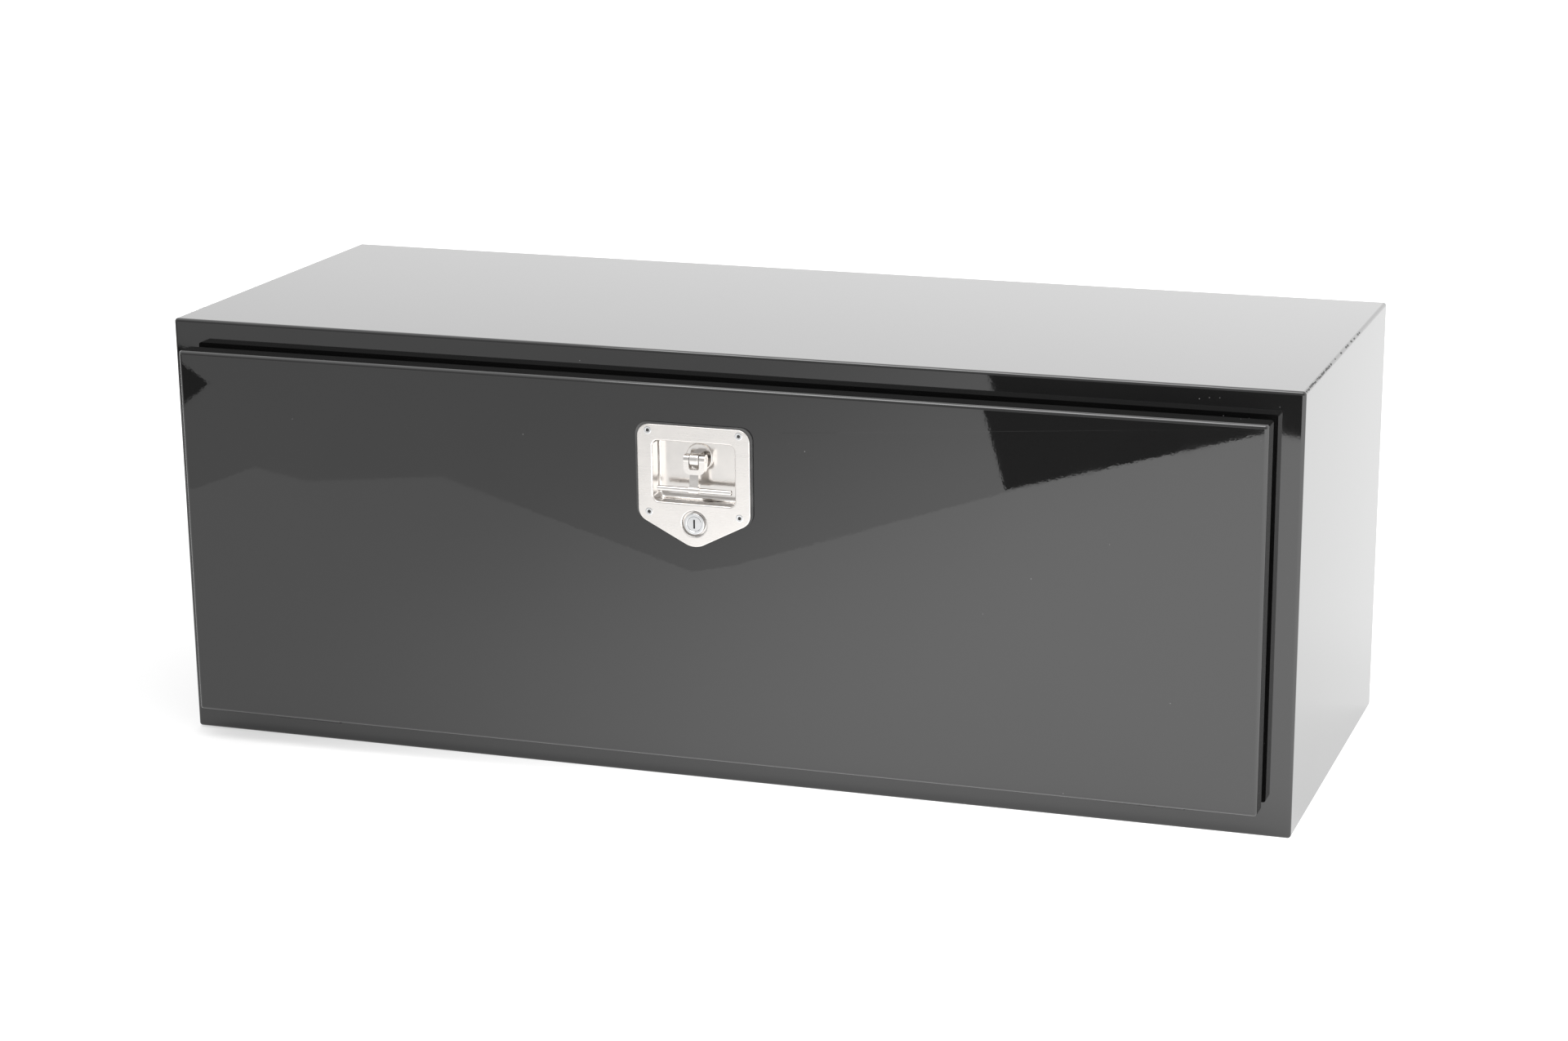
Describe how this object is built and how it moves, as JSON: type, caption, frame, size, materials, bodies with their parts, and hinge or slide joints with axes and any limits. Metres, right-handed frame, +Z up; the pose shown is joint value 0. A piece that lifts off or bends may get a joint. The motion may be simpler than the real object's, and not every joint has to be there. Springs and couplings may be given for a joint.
{
  "type": "truck tool box",
  "caption": "Underbody steel truck tool box with a drop-down door, concealed bottom hinges, bulb seal and a recessed folding T-handle latch with a key lock.",
  "frame": {"origin": "centre of the box body's underside", "axes": "+X along the box, -Y out through the door, +Z up"},
  "size_m": [1.2192, 0.4977, 0.4572],
  "materials": {
    "box_paint": "gloss",
    "door_paint": "gloss",
    "stainless": "bright",
    "chrome": "polished",
    "zinc": "satin",
    "rubber": "matte",
    "gasket": "matte"
  },
  "bodies": {
    "box": {"shell_top": "box_paint", "shell_back": "box_paint", "shell_bottom": "box_paint", "door_jamb": "box_paint", "bulb_seal": "rubber", "strike_plate": "box_paint", "hinge_frame_screws": "zinc", "hinge_frame_nuts": "zinc", "end_panel_left": "box_paint", "hinge_frame_leaf_left": "box_paint", "hinge_pin_left": "zinc", "end_panel_right": "box_paint", "hinge_frame_leaf_right": "box_paint", "hinge_pin_right": "zinc"},
    "door": {"door_outer_pan": "door_paint", "door_inner_panel": "door_paint", "hinge_door_screws": "zinc", "hinge_door_nuts": "zinc", "latch_gasket": "gasket", "latch_pan": "stainless", "latch_studs": "zinc", "latch_nuts": "zinc", "spindle_collar": "stainless", "lock_housing": "chrome", "lock_nut": "zinc", "hinge_door_leaf_left": "door_paint", "door_stiffener_left": "door_paint", "hinge_door_leaf_right": "door_paint", "door_stiffener_right": "door_paint"},
    "latch_spindle": {"spindle": "stainless", "handle_pin": "stainless", "cam_arm": "zinc", "cam_washer": "zinc", "cam_nut": "zinc"},
    "handle": {"handle_stem": "stainless", "handle_bar": "stainless"},
    "lock_plug": {"lock_plug": "chrome", "lock_tongue": "zinc", "lock_screw": "zinc"}
  },
  "joints": [
    {"name": "door_swing", "type": "hinge", "parent": "box", "child": "door", "pos_m": [0, -0.2336, 0.0263], "axis": [1, 0, 0], "range_deg": [0, 88]},
    {"name": "latch_turn", "type": "hinge", "parent": "door", "child": "latch_spindle", "pos_m": [-0.006, -0.25, 0.3535], "axis": [0, -1, 0], "range_deg": [0, 90]},
    {"name": "handle_fold", "type": "hinge", "parent": "latch_spindle", "child": "handle", "pos_m": [-0.006, -0.2606, 0.3535], "axis": [-1, 0, 0], "range_deg": [0, 80]},
    {"name": "lock_turn", "type": "hinge", "parent": "door", "child": "lock_plug", "pos_m": [-0.006, -0.25, 0.2876], "axis": [0, -1, 0], "range_deg": [0, 90]}
  ],
  "couplings": [
    {"joint": "latch_turn", "follows": "handle_fold", "ratio": 1.125}
  ]
}
